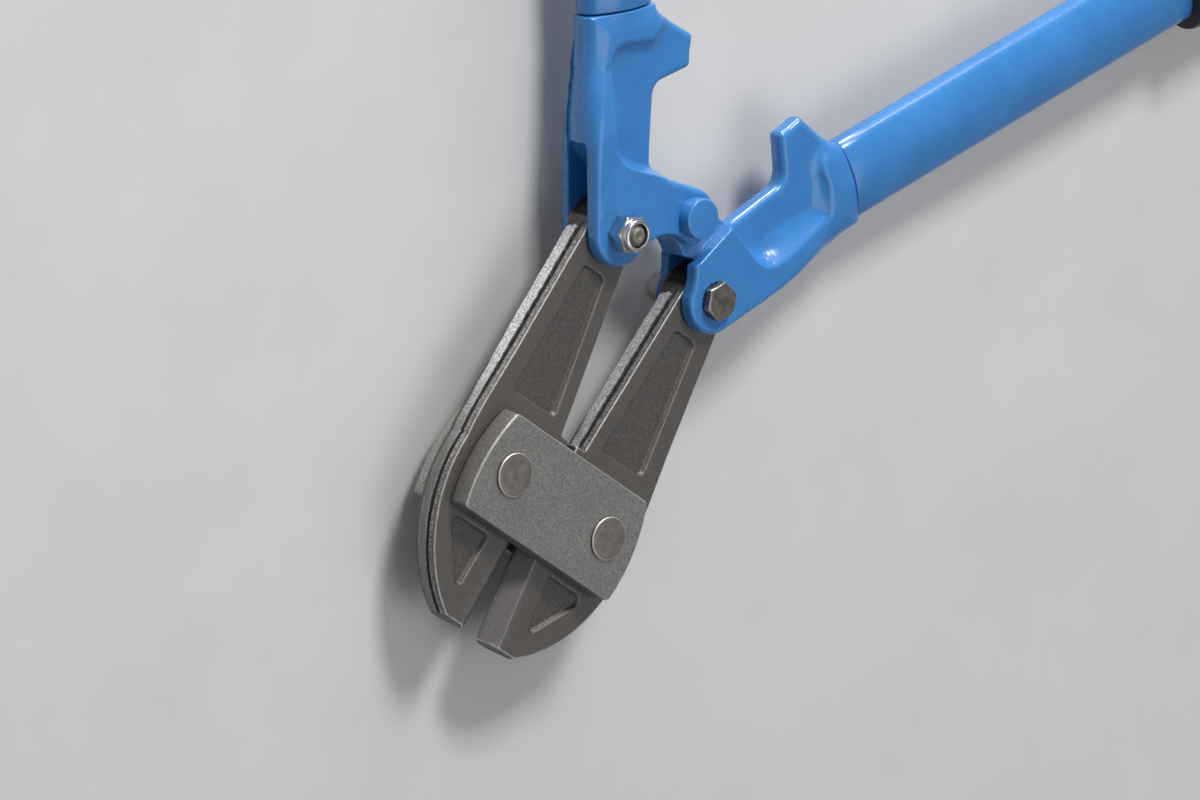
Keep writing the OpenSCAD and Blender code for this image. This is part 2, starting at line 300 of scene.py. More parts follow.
def write_attribute(mesh, name, values):
    layer = mesh.attributes.new(name, "FLOAT", "POINT")
    layer.data.foreach_set("value", np.asarray(values, np.float32))


def add_piece(name, mesh, body, nodes, look):
    """A finished mesh as a piece that stands for CAD nodes."""
    piece = bpy.data.objects.new(name, mesh)
    link(piece)
    mesh.materials.append(look)
    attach(piece, body)
    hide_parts(*nodes)
    return piece


def built_mesh(name, points, faces, edge, matrix, sharp_over=None):
    """Mesh from points and faces, smooth but for edges that turn more than sharp_over degrees."""
    mesh = bpy.data.meshes.new(name)
    mesh.from_pydata(points, [], faces)
    write_attribute(mesh, "edge", edge)
    if matrix.determinant() < 0:
        mesh.flip_normals()
    mesh.transform(matrix)
    if sharp_over:
        mesh.shade_smooth()
        mesh.set_sharp_from_angle(angle=math.radians(sharp_over))
    return mesh


def carve(name, field, low, high, step, keep, matrix, marks=None):
    """Mesh of a solid field between two corners, shaded by the field's own slope.

    The grid's spacing is step and the share of faces kept is keep. Each mark, for wear and for painted
    light and shade, is an attribute.
    """
    points, faces = surface_net(field, low, high, step)
    points = settle(field, points, step)
    raw = bpy.data.meshes.new(name + "_raw")
    raw.from_pydata(points.tolist(), [], faces.tolist())
    mesh = thinned(raw, keep)
    mesh.name = name
    points = read_points(mesh)
    _, normal = slope(field, points, NORMAL_REACH)
    normal /= np.maximum(np.linalg.norm(normal, axis=1, keepdims=True), 1e-9)
    write_attribute(mesh, "edge", convexity(field, points))
    for mark, rule in (marks or {}).items():
        write_attribute(mesh, mark, rule(*points.T))
    if matrix.determinant() < 0:
        mesh.flip_normals()
    mesh.transform(matrix)
    turn = np.array(matrix.to_3x3()) / MM
    mesh.shade_smooth()
    mesh.normals_split_custom_set_from_vertices((normal @ turn.T).tolist())
    return mesh


# -------- looks
class Look:
    """A node material, with short ways to write its parts."""

    def __init__(self, name, colour, roughness, metallic=0.0, specular=0.5, coat=0.0, coat_roughness=0.1):
        self.material = bpy.data.materials.new(name)
        self.material.use_nodes = True
        self.tree = self.material.node_tree
        self.shader = self.tree.nodes["Principled BSDF"]
        self.set(self.shader, "Base Color", (*colour, 1))
        self.set(self.shader, "Roughness", roughness)
        self.set(self.shader, "Metallic", metallic)
        self.set(self.shader, "Specular IOR Level", specular)
        self.set(self.shader, "Coat Weight", coat)
        self.set(self.shader, "Coat Roughness", coat_roughness)
        self.place = self.tree.nodes.new("ShaderNodeTexCoord").outputs["Object"]

    def set(self, node, socket, value):
        if isinstance(value, bpy.types.NodeSocket):
            self.tree.links.new(value, node.inputs[socket])
        else:
            node.inputs[socket].default_value = value

    def node(self, kind, **inputs):
        made = self.tree.nodes.new("ShaderNode" + kind)
        for socket, value in inputs.items():
            self.set(made, socket, value)
        return made.outputs[0]

    def stretched(self, x, y, z):
        """The object's coordinates with each axis scaled, so that a pattern runs along one of them."""
        return self.node("Mapping", Vector=self.place, Scale=(x, y, z))

    def noise(self, size_mm, detail=3.0, roughness=0.6, where=None):
        """Noise whose features are about that many millimetres across."""
        return self.node("TexNoise", Vector=where or self.place, Scale=1000 / size_mm,
                         Detail=detail, Roughness=roughness)

    def cells(self, size_mm):
        return self.node("TexVoronoi", Vector=self.place, Scale=1000 / size_mm)

    def levels(self, value, low, high, out_low=0.0, out_high=1.0):
        """Maps low..high to out_low..out_high, held at both ends."""
        made = self.tree.nodes.new("ShaderNodeMapRange")
        for socket, given in enumerate((value, low, high, out_low, out_high)):
            self.set(made, socket, given)
        return made.outputs[0]

    def math(self, operation, a, b=0.0):
        made = self.tree.nodes.new("ShaderNodeMath")
        made.operation = operation
        self.set(made, 0, a)
        self.set(made, 1, b)
        return made.outputs[0]

    def mix(self, share, a, b):
        """Colour a where share is 0 and colour b where it is 1."""
        made = self.tree.nodes.new("ShaderNodeMix")
        made.data_type = "RGBA"
        self.set(made, 0, share)
        for socket, colour in ((6, a), (7, b)):
            self.set(made, socket, colour if isinstance(colour, bpy.types.NodeSocket) else (*colour, 1))
        return made.outputs[2]

    def mark(self, name):
        """A mark stored on the mesh, for wear and for painted light and shade."""
        made = self.tree.nodes.new("ShaderNodeAttribute")
        made.attribute_name = name
        return made.outputs["Fac"]

    def bump(self, height, depth_mm, strength=1.0, over=None):
        made = self.tree.nodes.new("ShaderNodeBump")
        self.set(made, "Height", height)
        self.set(made, "Strength", strength)
        self.set(made, "Distance", depth_mm * MM)
        if over is not None:
            self.set(made, "Normal", over)
        return made.outputs[0]

    def finish(self, **sockets):
        for socket, value in sockets.items():
            self.set(self.shader, socket.replace("_", " "), value)
        return self.material


def forged_steel():
    """Dark drop-forged steel: scale grain, worn edges, bare trimmed seam, with painted shade in the groove
    beside the seam, on the jaw's tail and on the seam towards the nose.
    """
    look = Look("forged_steel", (0.15, 0.14, 0.13), 0.5, metallic=0.75)
    fine, broad = look.noise(0.45, 4, 0.75), look.noise(7, 3)
    pebble = look.noise(0.75, 4, 0.65)
    grain = look.mix(look.levels(fine, 0.35, 0.68), (0.075, 0.068, 0.061), (0.215, 0.2, 0.186))
    colour = look.mix(look.levels(broad, 0.35, 0.7, 0, 0.5), grain, (0.16, 0.147, 0.132))
    sunk = look.mark("sunk")
    colour = look.mix(look.math("MULTIPLY", sunk, look.levels(pebble, 0.4, 0.62, 0.1, 0.45)), colour,
                      (0.075, 0.069, 0.063))
    ground = look.mark("ground")
    colour = look.mix(look.math("MULTIPLY", ground, 0.35), colour, (0.26, 0.25, 0.24))
    worn = look.levels(look.mark("edge"), 0.06, 0.26)
    worn = look.math("MULTIPLY", worn, look.levels(look.noise(1.6, 4, 0.7), 0.28, 0.55, 0.35, 1))
    colour = look.mix(worn, colour, (0.84, 0.83, 0.81))
    draft = look.math("MULTIPLY", look.mark("draft"), look.levels(look.noise(0.6, 5, 0.85), 0.48, 0.6))
    colour = look.mix(draft, colour, (0.6, 0.59, 0.57))
    seam = look.mark("seam")
    torn = look.noise(0.65, 5, 0.85)
    bare_metal_and_lit_wall = look.mix(look.levels(torn, 0.4, 0.58), (0.34, 0.335, 0.32), (1.0, 1.0, 0.99))
    # Bare metal where the seam mark is, dimmed towards the nose as painted shade.
    colour = look.mix(seam, colour, bare_metal_and_lit_wall)
    # Painted shade: near black in the groove beside the seam and on the jaw's tail inside the head's slot.
    colour = look.mix(look.math("MULTIPLY", look.mark("groove"), 0.9), colour, (0.03, 0.028, 0.026))
    rough = look.levels(fine, 0.3, 0.75, 0.42, 0.62)
    rough = look.math("SUBTRACT", rough, look.math("MULTIPLY", worn, 0.16))
    bump = look.bump(fine, 0.06, 1.0)
    bump = look.bump(look.noise(2.2, 3), 0.05, 0.6, bump)
    bump = look.bump(look.math("MULTIPLY", sunk, pebble), 0.22, 0.8, bump)
    rough_sides = look.math("MAXIMUM", seam, look.mark("draft"))
    bump = look.bump(look.math("MULTIPLY", rough_sides, torn), 0.35, 1.0, bump)
    return look.finish(Base_Color=colour, Roughness=rough, Normal=bump)


def strap_steel():
    """Lighter blasted steel plate with a sandy grain and bright edges."""
    look = Look("strap_steel", (0.26, 0.25, 0.235), 0.5, metallic=0.7)
    fine, broad = look.noise(0.4, 4, 0.8), look.noise(9, 3)
    colour = look.mix(look.levels(fine, 0.36, 0.64), (0.115, 0.109, 0.1), (0.39, 0.376, 0.354))
    colour = look.mix(look.levels(broad, 0.4, 0.7, 0, 0.35), colour, (0.22, 0.205, 0.187))
    wall = look.mark("wall")
    # Painted shade: the front plate's sides are darkened.
    colour = look.mix(look.math("MULTIPLY", wall, 0.35), colour, (0.12, 0.112, 0.105))
    # Painted highlight: the rear plate's sides are lightened as if lit.
    bare_metal_and_lit_wall = look.math("MULTIPLY", look.mark("bare_metal_and_lit_wall"), look.levels(fine, 0.4, 0.6))
    colour = look.mix(bare_metal_and_lit_wall, colour, (0.6, 0.59, 0.57))
    worn = look.math("MULTIPLY", look.levels(look.mark("edge"), 0.07, 0.28, 0, 0.85),
                     look.levels(look.noise(2, 4, 0.7), 0.3, 0.58, 0.35, 1))
    colour = look.mix(worn, colour, (0.85, 0.84, 0.82))
    bump = look.bump(look.noise(1.5, 3), 0.05, 0.6, look.bump(fine, 0.08, 1.0))
    sawn = look.noise(0.9, 3, 0.6, look.stretched(1, 1, 0.2))
    bump = look.bump(look.math("MULTIPLY", wall, sawn), 0.12, 0.8, bump)
    return look.finish(Base_Color=colour, Roughness=look.levels(fine, 0.3, 0.75, 0.45, 0.62), Normal=bump)


def turned_steel(name, dark, light, roughness):
    """Plain machined steel, a little stained."""
    look = Look(name, light, roughness, metallic=0.85)
    fine, broad = look.noise(0.3, 4, 0.7), look.noise(2.6, 4)
    colour = look.mix(look.levels(broad, 0.35, 0.68), dark, light)
    colour = look.mix(look.levels(fine, 0.62, 0.72, 0, 0.6), colour, (0.12, 0.1, 0.085))
    colour = look.mix(look.math("MULTIPLY", look.mark("tip"), 0.7), colour, (0.25, 0.235, 0.2))
    worn = look.levels(look.mark("edge"), 0.07, 0.32, 0, 0.8)
    colour = look.mix(worn, colour, (0.8, 0.78, 0.75))
    rough = look.levels(fine, 0.3, 0.75, roughness - 0.08, roughness + 0.12)
    rough = look.math("ADD", rough, look.math("MULTIPLY", look.mark("tip"), 0.3))
    return look.finish(Base_Color=colour, Roughness=rough, Normal=look.bump(fine, 0.03, 0.7))


def blue_paint(name):
    """Glossy blue enamel: faint colour drift, edges lighter as thin paint and painted highlight, corners
    darker with painted shade, orange peel.
    """
    look = Look(name, (0.03, 0.17, 0.48), 0.3, specular=0.5, coat=0.3, coat_roughness=0.14)
    broad, fine = look.noise(14, 3), look.noise(0.9, 3, 0.6)
    colour = look.mix(look.levels(broad, 0.3, 0.7), (0.029, 0.175, 0.46), (0.037, 0.205, 0.515))
    colour = look.mix(look.levels(look.noise(3, 4, 0.7), 0.55, 0.75, 0, 0.1), colour, (0.08, 0.27, 0.6))
    edge = look.mark("edge")
    # Convex edges lighter: partly thin paint, partly a painted highlight.
    colour = look.mix(look.levels(edge, 0.1, 0.4, 0, 0.3), colour, (0.14, 0.36, 0.7))
    # Concave corners darker: painted shade.
    colour = look.mix(look.levels(edge, -0.08, -0.35, 0, 0.45), colour, (0.015, 0.085, 0.28))
    fin = look.mark("fin")
    torn = look.noise(0.8, 4, 0.75)
    chipped = look.math("MULTIPLY", fin, look.levels(torn, 0.48, 0.6, 0, 0.6))
    colour = look.mix(chipped, colour, (0.3, 0.48, 0.7))
    rough = look.levels(fine, 0.3, 0.75, 0.22, 0.34)
    bump = look.bump(look.noise(5, 2), 0.05, 0.5, look.bump(fine, 0.012, 0.5))
    bump = look.bump(look.math("MULTIPLY", fin, torn), 0.4, 0.8, bump)
    return look.finish(Base_Color=colour, Roughness=rough, Normal=bump)


def zinc():
    look = Look("zinc_nut", (0.6, 0.6, 0.61), 0.22, metallic=1.0)
    cloud = look.noise(2.2, 4, 0.6)
    colour = look.mix(look.levels(cloud, 0.35, 0.68), (0.5, 0.49, 0.47), (0.74, 0.74, 0.75))
    # Concave corners darker: painted shade.
    colour = look.mix(look.levels(look.mark("edge"), -0.05, -0.3, 0, 0.6), colour, (0.2, 0.19, 0.18))
    rough = look.levels(look.noise(0.5, 4, 0.7), 0.3, 0.75, 0.14, 0.32)
    return look.finish(Base_Color=colour, Roughness=rough, Normal=look.bump(look.noise(0.9, 4), 0.03, 0.6))


def nylon():
    # The ring's dark colour is painted shade: it sits shadowed inside the nut's crown.
    look = Look("nut_nylon", (0.07, 0.085, 0.1), 0.5)
    cloud = look.noise(1.2, 3)
    colour = look.mix(look.levels(cloud, 0.3, 0.7), (0.045, 0.055, 0.068), (0.09, 0.105, 0.125))
    return look.finish(Base_Color=colour, Roughness=look.levels(cloud, 0.3, 0.7, 0.42, 0.58),
                       Normal=look.bump(look.noise(0.3, 3), 0.02, 0.5))


def vinyl():
    """Soft black dipped vinyl: fine leather-like grain, dusty in the grooves."""
    look = Look("grip_vinyl", (0.018, 0.018, 0.02), 0.45, specular=0.4)
    broad, grain = look.noise(12, 4), look.cells(0.9)
    colour = look.mix(look.levels(broad, 0.3, 0.7), (0.014, 0.014, 0.016), (0.03, 0.03, 0.032))
    colour = look.mix(look.levels(look.mark("edge"), -0.05, -0.3, 0, 0.5), colour, (0.06, 0.058, 0.054))
    rough = look.levels(look.noise(3, 4), 0.3, 0.7, 0.38, 0.58)
    bump = look.bump(look.noise(4, 3), 0.08, 0.4, look.bump(grain, 0.05, 0.6))
    return look.finish(Base_Color=colour, Roughness=rough, Normal=bump)


def pale_floor():
    look = Look("floor", (0.62, 0.61, 0.6), 0.6, specular=0.3)
    cloud = look.noise(60, 3)
    colour = look.mix(look.levels(cloud, 0.3, 0.7), (0.6, 0.59, 0.575), (0.64, 0.63, 0.62))
    return look.finish(Base_Color=colour, Normal=look.bump(look.noise(1.2, 3), 0.02, 0.3))


FORGED, STRAP = forged_steel(), strap_steel()
RIVET_LOOK = turned_steel("rivet_steel", (0.19, 0.17, 0.148), (0.28, 0.255, 0.227), 0.46)
BOLT_LOOK = turned_steel("bolt_steel", (0.13, 0.115, 0.1), (0.26, 0.237, 0.21), 0.36)
WASHER_LOOK = turned_steel("washer_steel", (0.03, 0.03, 0.033), (0.07, 0.068, 0.07), 0.4)
CAST_PAINT, TUBE_PAINT = blue_paint("blue_casting"), blue_paint("blue_tube")
ZINC, NYLON, VINYL = zinc(), nylon(), vinyl()

# -------- jaws
NOSE_CENTRE, NOSE_R = (-7.2, -3.5), 44.6
NOSE_LEN = 42.25
RELIEF_X = 1.7
ARM_ROOT_Y = 18.5
TAIL_R = 8.9
ARM = outline((5.2, 4, 0), (5.2, ARM_ROOT_Y, 0), (12.6, 75.2, 0), (30.4, 75.2, 0), (34.4, 32, 60),
              (36.5, 14.5, 60), (37.4, 0, 20), (30, -10, 0))
ARM_PANEL = outline((10.6, 21.3, 1.6), (29.2, 21.3, 2.2), (25.4, 62.8, 2.2), (16.4, 62.8, 2))
NOSE_PANEL = outline((13.4, -16.6, 1.2), (30.6, -16.6, 2.4), (15.2, -35.6, 1.4))
PANEL_DEPTH, PANEL_WALL, PANEL_ROUND = 1.1, 0.75, 0.35
DRAFT = 0.22                    # how far the forged sides lean out, per millimetre of depth
REAR_DRAFT = 0.5
JAW_UNEVEN = 0.04
SEAM_FROM, SEAM_TO = -1.9, 2.1  # heights of the trimmed seam's two sides on the arm
SEAM_NARROWS = 1.0              # the seam's rear side comes forward this much on the nose
SEAM_OUT, SEAM_THINS = 1.2, 0.3 # how far it stands out on the arm, and how much less on the nose
NOSE_TO_ARM = 10, 40            # along this stretch the nose's seam turns into the arm's
GROOVE_TO = 2.7                 # the groove along the seam's front side, painted dark as its shadow, ends here
SEAM_ENDS_Y = 74
JAW_CLOSE = math.radians(3.94)
BLADE_TOP = -8
BEVEL_W = 5.2
EDGE_FLAT = 0.15
BORE_GAP = 0.1
RIVET_R, RIVET_HEAD_R, RIVET_ROUND = 5, 6.25, 0.35
BOLT_R = 3
JAW_LOW, JAW_HIGH = (0, -44, -6), (40, 86, 6)
JAW_STEP, JAW_KEEP = 0.38, 0.45


def jaw_plan(x, y, grow):
    """Jaw outline; grow moves its forged sides outward."""
    nose = np.maximum(circle(x, y, NOSE_CENTRE, NOSE_R) - grow, RELIEF_X - x)
    nose = np.maximum(nose, np.maximum(-NOSE_LEN - y, y - ARM_ROOT_Y))
    arm = polygon(x, y, ARM) - grow
    tail = circle(x, y, LINK, TAIL_R) - grow
    return np.minimum(nose, join(arm, tail, 1))


def panel(x, y, z, points):
    """Sunk panel with sloping walls."""
    depth = JAW_Z - np.abs(z)
    return np.maximum((polygon(x, y, points) + PANEL_WALL * depth) * 0.8, depth - PANEL_DEPTH)


def blade_keep(x, y, z):
    """Distance past the blade's two bevels, measured with the jaws closed."""
    dx, dy = x - RIVET_X, y
    shut_x = RIVET_X + dx * math.cos(JAW_CLOSE) + dy * math.sin(JAW_CLOSE)
    shut_y = dy * math.cos(JAW_CLOSE) - dx * math.sin(JAW_CLOSE)
    lean = JAW_Z / math.hypot(JAW_Z, BEVEL_W)
    depth = np.sqrt(z * z + 0.16) - 0.2          # the two bevels meet in a blunt line
    return (EDGE_FLAT + depth * BEVEL_W / JAW_Z - shut_x) * lean, shut_y - BLADE_TOP


def seam_low(y):
    """Height of the seam's rear side along the jaw."""
    return SEAM_FROM + SEAM_NARROWS * (1 - fade(y, *NOSE_TO_ARM))


def jaw_field(x, y, z):
    tailward = 1 - fade(y, SEAM_ENDS_Y - 4, SEAM_ENDS_Y)
    lean = np.where(z > 0, -DRAFT * np.clip(JAW_Z - z, 0, JAW_Z), REAR_DRAFT * -z - DRAFT * JAW_Z)
    side = jaw_plan(x, y, -lean * tailward) + JAW_UNEVEN * (1.6 + waves(x, y, z, 11))
    body = slab(side, z, JAW_Z, 0.4)
    ragged = SEAM_OUT - SEAM_THINS * (1 - fade(y, *NOSE_TO_ARM))
    ragged = ragged + 0.06 * waves(x, y, z, 2.3) + 0.12 * waves(y, x, z, 9)
    middle = (seam_low(y) + SEAM_TO) / 2
    seam = slab(jaw_plan(x, y, ragged) + 5 * (1 - tailward), z - middle, SEAM_TO - middle, 0.2)
    in_groove = np.abs(z - (SEAM_TO + GROOVE_TO) / 2) - (GROOVE_TO - SEAM_TO) / 2
    groove = np.maximum(-jaw_plan(x, y, 0.25), in_groove)
    solid = join(overlap(body, -groove, 0.1), seam, 0.15)
    bevel, above = blade_keep(x, y, z)
    solid = overlap(solid, np.minimum(bevel, -above), 0.25)
    solid = overlap(solid, -panel(x, y, z, ARM_PANEL), PANEL_ROUND)
    solid = overlap(solid, -panel(x, y, z, NOSE_PANEL), PANEL_ROUND)
    return bored(solid, x, y, ((RIVET_X, 0), RIVET_R + BORE_GAP), (LINK, BOLT_R + BORE_GAP))


def bare_seam_and_shade_mark(x, y, z):
    """Bare torn metal: the trimmed seam and the ledge at the arm's root, dimmed towards the nose with
    painted shade.
    """
    out = jaw_plan(x, y, 0)
    ledge = (y > ARM_ROOT_Y - 0.3) & (x < ARM[0].x - 0.4) & (np.abs(z) < JAW_Z - 0.4)
    trimmed = (z > seam_low(y) - 0.1) & (z < SEAM_TO + 0.1) & (out > SEAM_OUT - 0.65)
    # Painted shade: the bare metal fades out towards the nose.
    return (ledge | trimmed) * (0.15 + 0.85 * fade(y, -8, 34))


def painted_shade_mark(x, y, z):
    """Painted shade: the shadow in the groove beside the seam, and the jaw's tail where it lies in shadow
    inside the head's slot.
    """
    out = jaw_plan(x, y, 0)
    tail = (y > SEAM_ENDS_Y + 0.5) & (np.abs(z) < JAW_Z - 0.5) & (out > -0.7)
    return (tail | (z > SEAM_TO - 0.1) & (z < GROOVE_TO + 0.1) & (out > 0)).astype(float)


def draft_mark(x, y, z):
    """Sloping side in front of the groove."""
    out = jaw_plan(x, y, 0)
    return ((z < JAW_Z - 0.7) & (z > GROOVE_TO) & (out > 0.05)).astype(float)


def sunk_mark(x, y, z):
    """Floors of the two sunk panels."""
    return fade(JAW_Z - np.abs(z), 0.5 * PANEL_DEPTH, 0.95 * PANEL_DEPTH) * (
        np.minimum(polygon(x, y, ARM_PANEL), polygon(x, y, NOSE_PANEL)) < 0)


def ground_mark(x, y, z):
    """Ground bevels of the blade."""
    bevel, above = blade_keep(x, y, z)
    return fade(np.abs(bevel), 0.6, 0.2) * (above < -0.3)


def make_jaw(side):
    marks = {"seam": bare_seam_and_shade_mark, "groove": painted_shade_mark, "draft": draft_mark, "sunk": sunk_mark,
             "ground": ground_mark}
    mesh = carve(side + "_jaw_forging", jaw_field, JAW_LOW, JAW_HIGH, JAW_STEP, JAW_KEEP,
                 place(side == "left"), marks)
    add_piece(side + "_jaw_forging", mesh, side + "_lever", [side + "_jaw"], FORGED)


# -------- straps and rivets
STRAP_LOW_Y, STRAP_HIGH_Y = 15.4, 15.5
STRAP_REACH = 12.4              # from a rivet's middle to the bowed end
STRAP_BOW_R, STRAP_BOW_Y = 50, -4
STRAP_DRAW_IN = 0.06            # the plate's sides draw in this much per millimetre of height
STRAP_STEP, STRAP_KEEP = 0.42, 0.4


def strap_field(x, y, z):
    """Plate with two straight sides, two bowed ends and two bores."""
    bow_x = RIVET_X + STRAP_REACH - STRAP_BOW_R
    flat = overlap(circle(x, y, (bow_x, STRAP_BOW_Y), STRAP_BOW_R),
                   circle(x, y, (-bow_x, STRAP_BOW_Y), STRAP_BOW_R), 0.5)
    flat = overlap(flat, np.maximum(-STRAP_LOW_Y - y, y - STRAP_HIGH_Y), 1.2)
    middle = (STRAP_LOW + STRAP_TOP) / 2
    flat = flat + STRAP_DRAW_IN * (z - STRAP_LOW)
    solid = slab(flat, z - middle, (STRAP_TOP - STRAP_LOW) / 2, 0.55) + 0.03 * waves(x, y, z, 13)
    return bored(solid, x, y, ((RIVET_X, 0), RIVET_R + BORE_GAP), ((-RIVET_X, 0), RIVET_R + BORE_GAP))


def wall_mark(x, y, z):
    """The plate's sides, without its rounded edges."""
    return (np.abs(z - (STRAP_LOW + STRAP_TOP) / 2) < (STRAP_TOP - STRAP_LOW) / 2 - 0.5).astype(float)


def make_strap(name, flip):
    matrix = TO_ROW @ Matrix.Diagonal((1, 1, -1 if flip else 1, 1))
    # The front plate's sides are marked for painted shade, the rear plate's sides for a painted highlight.
    mesh = carve(name + "_plate", strap_field, (-36, -17, STRAP_LOW - 1), (36, 17, STRAP_TOP + 1),
                 STRAP_STEP, STRAP_KEEP, matrix, {"bare_metal_and_lit_wall" if flip else "wall": wall_mark})
    add_piece(name + "_plate", mesh, "straps", [name], STRAP)


TURN_STEPS, ROUND_STEPS = 72, 5
RIM_MARK = 0.35                 # how strongly a turned rim is marked: wear on the rivets, lighter paint on the painted pin, partly a painted highlight
CHAMFER = 0.1                   # under a pin's head


def lathe(name, profile, matrix, is_rim):
    """Turned piece: the profile (r, z) goes from the bottom axis point to the top one."""
    points, faces, edge = [], [], []
    for r, z in profile:
        for i in range(TURN_STEPS):
            a = 2 * math.pi * i / TURN_STEPS
            points.append((r * math.cos(a), r * math.sin(a), z))
            edge.append(RIM_MARK if is_rim(r, z) else 0.0)
    last = (len(profile) - 1) * TURN_STEPS
    for row in range(0, last, TURN_STEPS):
        over = row + TURN_STEPS
        for i in range(TURN_STEPS):
            j = (i + 1) % TURN_STEPS
            faces.append((row + i, row + j, over + j, over + i))
    bottom, top = len(points), len(points) + 1
    points += [(0, 0, profile[0][1]), (0, 0, profile[-1][1])]
    edge += [0.0, 0.0]
    for i in range(TURN_STEPS):
        j = (i + 1) % TURN_STEPS
        faces.append((bottom, j, i))
        faces.append((top, last + i, last + j))
    return built_mesh(name, points, faces, edge, matrix, 40)


def headed_pin(name, half, shank_r, head_from, head_r, r, matrix):
    """Pin with a slightly crowned head at both ends, its rims rounded by r."""
    arc = [(head_r - r + r * math.cos(a), half - r + r * math.sin(a))
           for a in (math.pi / 2 * k / ROUND_STEPS for k in range(ROUND_STEPS + 1))]
    upper = [(shank_r, 0), (shank_r, head_from), (head_r - CHAMFER, head_from),
             (head_r, head_from + CHAMFER), *arc, (0.6 * head_r, half + 0.02), (0.02, half + 0.03)]
    profile = [(a, -b) for a, b in reversed(upper)] + upper[1:]
    return lathe(name, profile, matrix, lambda a, b: a > head_r - 0.35 and abs(b) > half - 0.8 * r)


def make_rivet(side):
    matrix = place(side == "left", Matrix.Translation((RIVET_X, 0, 0)))
    mesh = headed_pin(side + "_rivet_turned", RIVET_TOP, RIVET_R, STRAP_TOP, RIVET_HEAD_R, RIVET_ROUND,
                      matrix)
    add_piece(side + "_rivet_turned", mesh, "straps", [side + "_rivet"], RIVET_LOOK)


def make_pin():
    matrix = TO_ROW @ Matrix.Translation((0, PIVOT_Y, 0))
    mesh = headed_pin("pivot_pin_painted", PIN_TOP, PIN_R, CHEEK_Z, PIN_HEAD_R, PIN_ROUND, matrix)
    add_piece("pivot_pin_painted", mesh, "left_handle", ["pivot_pin"], CAST_PAINT)


# -------- handle heads
# Drawn on the handle's own axes: centre pivot at the origin, tube along +Y at x = TUBE_X
TUBE_X = END_UV.x
TUBE_W, TUBE_H = 25, 13
SHOULDER_Y = 62
LUG_R, EYE_R = 8.4, 10.1
WAIST, WAIST_R = (11.8, -16.2), 12.6
HEAD = outline((-3.3, 7.6, 0), (10.8, 13.8, 6), (7.8, 38.7, 4.5), (-6.2, 41.4, 2.2), (-6.6, 45.5, 5),
               (-7.7, 50.6, 1.6), (7.5, 60.6, 3), (7.2, SHOULDER_Y, 0), (31.2, SHOULDER_Y, 0),
               (31.9, 54, 20), (33.6, 44, 20), (35.2, 34, 20), (35.7, 25, 10), (36.77, 0.8, 0),
               (*LINK_UV[:2], 0), (*WAIST, 0), (0, 0, 0))
POCKET = outline((-20, 13, 0), (9, 12.7, 2), (27.3, 20.4, 9), (27.6, 55, 6.5), (10.4, 54.2, 1.5),
                 (8.4, 57.5, 1.5), (8, 70, 0), (-20, 70, 0))
BACK = outline((27, SHOULDER_Y - 0.5, 0), (60, SHOULDER_Y - 0.5, 0), (60, -30, 0), (27, -30, 0))
WEB_HALF, WEB_ROUND = 3.9, 2.9
WEB_OUT, WEB_UP = 0.6, 0.25     # the web stands out past the thick cheek, and its middle is this high
PARTING_Z = -4.4                # height of the casting's parting line
LEAN_FROM = 5                   # the outline draws in below this height, and less above it
LEAN_BELOW, LEAN_ABOVE = 0.19, 0.1
FIN_OUT, FIN_HALF = 0.75, 0.5
SLOT_HALF = box_mm("right_jaw")[1].z + 0.3
SLOT = outline((11.5, -3.5, 0), (33, 27, 5), (60, 27, 0), (60, -60, 0), (WAIST[0] - 2, -60, 0))
FORK_R = 10.6
FORK = outline((4, 6, 0), (17, 3.5, 0), (17, -60, 0), (0, -60, 0), (-60, -30, 0))
STEP_DOWN = outline((-60, -60, 0), (15.4, -60, 0), (13.8, -1.6, 0.6), (10.4, 9, 1.5), (8.2, 15, 0),
                    (-60, 15, 0))
TONGUE = outline((-60, -60, 0), (20, -60, 0), (14, 14.5, 0), (-60, 14.5, 0))
PIN_R, PIN_HEAD_R, PIN_ROUND = 3.5, 5.8, 0.45
PIN_PLAY = 2.2                  # the tongue's bore is this much wider than the pin all round
POCKET_ROUND = 0.55
POCKET_FLARE = 0.3              # slope of the pocket's wall at its low end
FORK_FLARE, TONGUE_FLARE = 0, 0.6   # how much more the pocket's back wall slopes
TUBE_FROM = 50
SOCKET_PROUD = 0.8              # the oval socket stands this far over the flat cheek beside it
SOCKET_BLEND = 3
OVAL_END = 0.35                 # radius of the oval's ends, as a share of its height
CHEEK_RISE = 26, 58             # along this stretch the cheek rises to the socket's height
CHEEK_ROUND = 1.1               # rounding of the cheek's edge beside the pivot
ROUNDER, ROUNDER_SPAN = 0.6, (0, 12)        # more rounding over these two stretches
ROUNDEST, ROUNDEST_SPAN = 2.8, (12, 46)
DRAW_IN, DRAW_IN_SPAN = 1.5, (42, 60)       # and the thick part draws in towards the tube
SLOT_ROUND, TONGUE_ROUND = 0.7, 0.8
HEAD_LOW, HEAD_HIGH = (-11, -21, -11), (41, SHOULDER_Y + 1, 11)
HEAD_STEP, HEAD_KEEP = 0.4, 0.5


def oval_arcs(w, h):
    """An oval of four tangent arcs: its end radius, that arc's place along X, and its side radius."""
    end_r = OVAL_END * h
    d = w / 2 - end_r
    return end_r, d, (d * d + h * h / 4 - end_r * end_r) / (h - 2 * end_r)


def oval_field(x, z, w, h):
    """Oval w wide and h high about the tube's centre line."""
    end_r, d, big_r = oval_arcs(w, h)
    ax, az = np.abs(x), np.abs(z)
    on_cap = (ax - d) * (big_r - h / 2) > az * d
    side = np.hypot(ax, az + big_r - h / 2) - big_r
    return np.where(on_cap, np.hypot(ax - d, az) - end_r, side)


